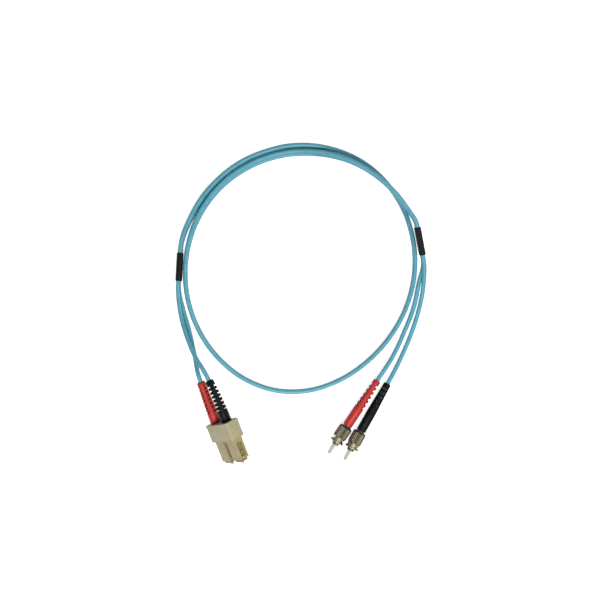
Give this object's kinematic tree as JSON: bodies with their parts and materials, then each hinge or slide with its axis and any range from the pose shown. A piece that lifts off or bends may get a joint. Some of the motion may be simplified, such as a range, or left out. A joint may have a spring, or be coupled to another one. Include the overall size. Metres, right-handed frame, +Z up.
{
  "type": "fiber optic patch cord",
  "caption": "Duplex fibre patch cord: aqua zip cord in a loose loop, a beige push-pull duplex plug at one end and bayonet plugs at the other, with red and black boots.",
  "frame": {"origin": "on the table under the middle of the box around the plugs and boots", "axes": "+Z up from the table, +X from the square duplex plug towards the round bayonet plugs, +Y from the plugs towards the loop"},
  "size_m": [0.1662, 0.2128, 0.0271],
  "materials": {
    "beige_clip": "satin",
    "beige_shell": "satin",
    "plug_frame_plastic": "satin",
    "zirconia": "polished",
    "nickel_plate": "nickel plated",
    "spring_steel": "drawn wire",
    "fibre_buffer": "smooth",
    "red_boot": "satin",
    "black_boot": "satin",
    "black_heat_shrink": "matte",
    "aqua_jacket": "satin"
  },
  "bodies": {
    "cord_and_plugs": {"sc_red_plug_frame": "plug_frame_plastic", "sc_red_spring": "spring_steel", "sc_red_stop_ring": "nickel_plate", "sc_red_crimp_sleeve": "nickel_plate", "sc_red_boot": "red_boot", "sc_black_plug_frame": "plug_frame_plastic", "sc_black_spring": "spring_steel", "sc_black_stop_ring": "nickel_plate", "sc_black_crimp_sleeve": "nickel_plate", "sc_black_boot": "black_boot", "st_red_barrel": "nickel_plate", "st_red_spring": "spring_steel", "st_red_retaining_ring": "spring_steel", "st_red_ferrule": "zirconia", "st_red_fibre": "fibre_buffer", "st_red_crimp_sleeve": "nickel_plate", "st_red_boot": "red_boot", "st_black_barrel": "nickel_plate", "st_black_spring": "spring_steel", "st_black_retaining_ring": "spring_steel", "st_black_ferrule": "zirconia", "st_black_fibre": "fibre_buffer", "st_black_crimp_sleeve": "nickel_plate", "st_black_boot": "black_boot", "sc_split_sleeve": "black_heat_shrink", "st_split_sleeve": "black_heat_shrink", "zipcord_loop": "aqua_jacket", "sc_red_leg": "aqua_jacket", "sc_black_leg": "aqua_jacket", "st_red_leg": "aqua_jacket", "st_black_leg": "aqua_jacket"},
    "sc_shell": {"sc_duplex_clip": "beige_clip", "sc_red_housing": "beige_shell", "sc_black_housing": "beige_shell"},
    "sc_red_ferrule_unit": {"sc_red_ferrule": "zirconia", "sc_red_ferrule_holder": "nickel_plate", "sc_red_fibre": "fibre_buffer"},
    "sc_black_ferrule_unit": {"sc_black_ferrule": "zirconia", "sc_black_ferrule_holder": "nickel_plate", "sc_black_fibre": "fibre_buffer"},
    "st_red_washer": {"st_red_thrust_washer": "spring_steel"},
    "st_red_bayonet": {"st_red_nut": "nickel_plate"},
    "st_black_washer": {"st_black_thrust_washer": "spring_steel"},
    "st_black_bayonet": {"st_black_nut": "nickel_plate"}
  },
  "joints": [
    {"name": "sc_shell_slide", "type": "slide", "parent": "cord_and_plugs", "child": "sc_shell", "axis": [-0.3588, 0.9299, 0.0802], "range_m": [0, 0.0018]},
    {"name": "sc_red_ferrule_slide", "type": "slide", "parent": "cord_and_plugs", "child": "sc_red_ferrule_unit", "axis": [-0.3588, 0.9299, 0.0802], "range_m": [0, 0.001], "stiffness_N_per_m": 1000, "springref_m": -0.002, "deforming": ["sc_red_spring"]},
    {"name": "sc_black_ferrule_slide", "type": "slide", "parent": "cord_and_plugs", "child": "sc_black_ferrule_unit", "axis": [-0.3588, 0.9299, 0.0802], "range_m": [0, 0.001], "stiffness_N_per_m": 1000, "springref_m": -0.002, "deforming": ["sc_black_spring"]},
    {"name": "st_red_nut_slide", "type": "slide", "parent": "cord_and_plugs", "child": "st_red_washer", "axis": [-0.5563, -0.831, 0], "range_m": [0, 0.0022], "stiffness_N_per_m": 1000, "springref_m": -0.002, "deforming": ["st_red_spring"]},
    {"name": "st_red_nut_turn", "type": "hinge", "parent": "st_red_washer", "child": "st_red_bayonet", "pos_m": [0.03424, -0.00438, 0.00485], "axis": [-0.5563, -0.831, 0], "continuous": true},
    {"name": "st_black_nut_slide", "type": "slide", "parent": "cord_and_plugs", "child": "st_black_washer", "axis": [-0.4924, -0.8704, 0], "range_m": [0, 0.0022], "stiffness_N_per_m": 1000, "springref_m": -0.002, "deforming": ["st_black_spring"]},
    {"name": "st_black_nut_turn", "type": "hinge", "parent": "st_black_washer", "child": "st_black_bayonet", "pos_m": [0.04344, -0.00788, 0.00485], "axis": [-0.4924, -0.8704, 0], "continuous": true}
  ]
}
